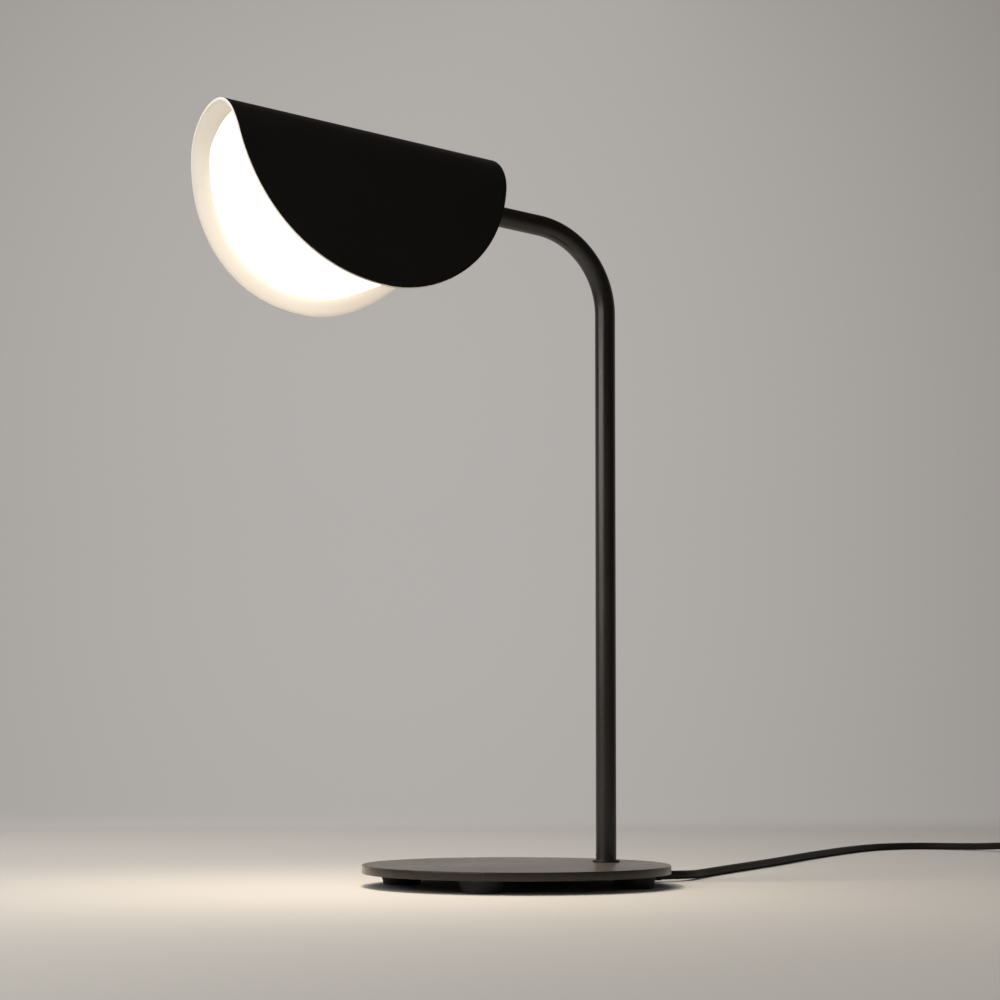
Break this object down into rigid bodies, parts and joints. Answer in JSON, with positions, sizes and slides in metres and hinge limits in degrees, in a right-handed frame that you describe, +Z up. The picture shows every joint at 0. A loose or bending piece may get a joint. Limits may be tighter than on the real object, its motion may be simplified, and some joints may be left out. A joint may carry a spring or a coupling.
{
  "type": "desk lamp",
  "caption": "Desk lamp with a folded black sheet shade over an opal diffuser, on a bent stem and a round base plate, with cord, in-line switch and plug.",
  "frame": {"origin": "on the floor under the middle of the lamp's box, without its cord", "axes": "+X to the back of the lamp, from the shade towards the stem; +Z up; +Y to the right when looking along +X is the left side"},
  "size_m": [0.9126, 0.4204, 0.4926],
  "materials": {
    "powder_black": "fine matt powder coat",
    "shade_black": "matt powder coat outside, satin cream inside",
    "foot_rubber": "matt",
    "screw_steel": "zinc plated",
    "washer_nylon": "natural",
    "wire_cover": "matt",
    "light_aluminium": "mill finish",
    "board_white": "white solder mask",
    "led_yellow": "phosphor",
    "driver_white": "matt",
    "opal": "opal, satin",
    "switch_black": "fine satin",
    "contact_brass": "plain",
    "cord_black": "smooth sheath",
    "tie_black": "matt",
    "pin_nickel": "nickel plated"
  },
  "bodies": {
    "stand": {"base_plate": "powder_black", "foot_front_left": "foot_rubber", "foot_front_right": "foot_rubber", "foot_rear_left": "foot_rubber", "foot_rear_right": "foot_rubber", "foot_screws": "screw_steel", "stem_tube": "powder_black", "stem_collar": "powder_black", "stem_nipple": "screw_steel", "stem_washer": "screw_steel", "stem_nut": "screw_steel", "cord_clamp": "screw_steel", "clamp_screws": "screw_steel", "strain_relief": "cord_black", "stem_wires": "wire_cover", "swivel_shaft": "screw_steel", "friction_washer_outer": "washer_nylon", "friction_washer_inner": "washer_nylon", "spring_washer": "screw_steel", "swivel_nut": "screw_steel", "stop_pin": "screw_steel", "switch_lower": "switch_black", "switch_upper": "switch_black", "switch_screws": "screw_steel", "switch_contacts": "contact_brass", "cord_from_base": "cord_black", "cord_after_switch": "cord_black", "cord_coil": "cord_black", "cord_tail": "cord_black", "cord_tie": "tie_black", "plug_body": "switch_black", "plug_pins": "pin_nickel"},
    "head": {"carrier": "light_aluminium", "shade": "shade_black", "shade_posts": "screw_steel", "shade_screws": "screw_steel", "led_board": "board_white", "led_chips": "led_yellow", "board_screws": "screw_steel", "led_driver": "driver_white", "driver_screws": "screw_steel", "driver_leads": "wire_cover", "led_leads": "wire_cover", "diffuser": "opal", "diffuser_spring_front": "screw_steel", "diffuser_spring_rear": "screw_steel", "spring_rivets": "screw_steel", "arm_grommet": "foot_rubber"},
    "rocker": {"switch_rocker": "switch_black"}
  },
  "joints": [
    {"name": "head_swivel", "type": "hinge", "parent": "stand", "child": "head", "pos_m": [-0.05844, 0, 0.44797], "axis": [0.9949, 0, -0.1011], "range_deg": [-90, 90]},
    {"name": "switch_rocker", "type": "hinge", "parent": "stand", "child": "rocker", "pos_m": [0.66264, 0.155, 0.0094], "axis": [1, 0, 0], "range_deg": [-14, 0]}
  ]
}
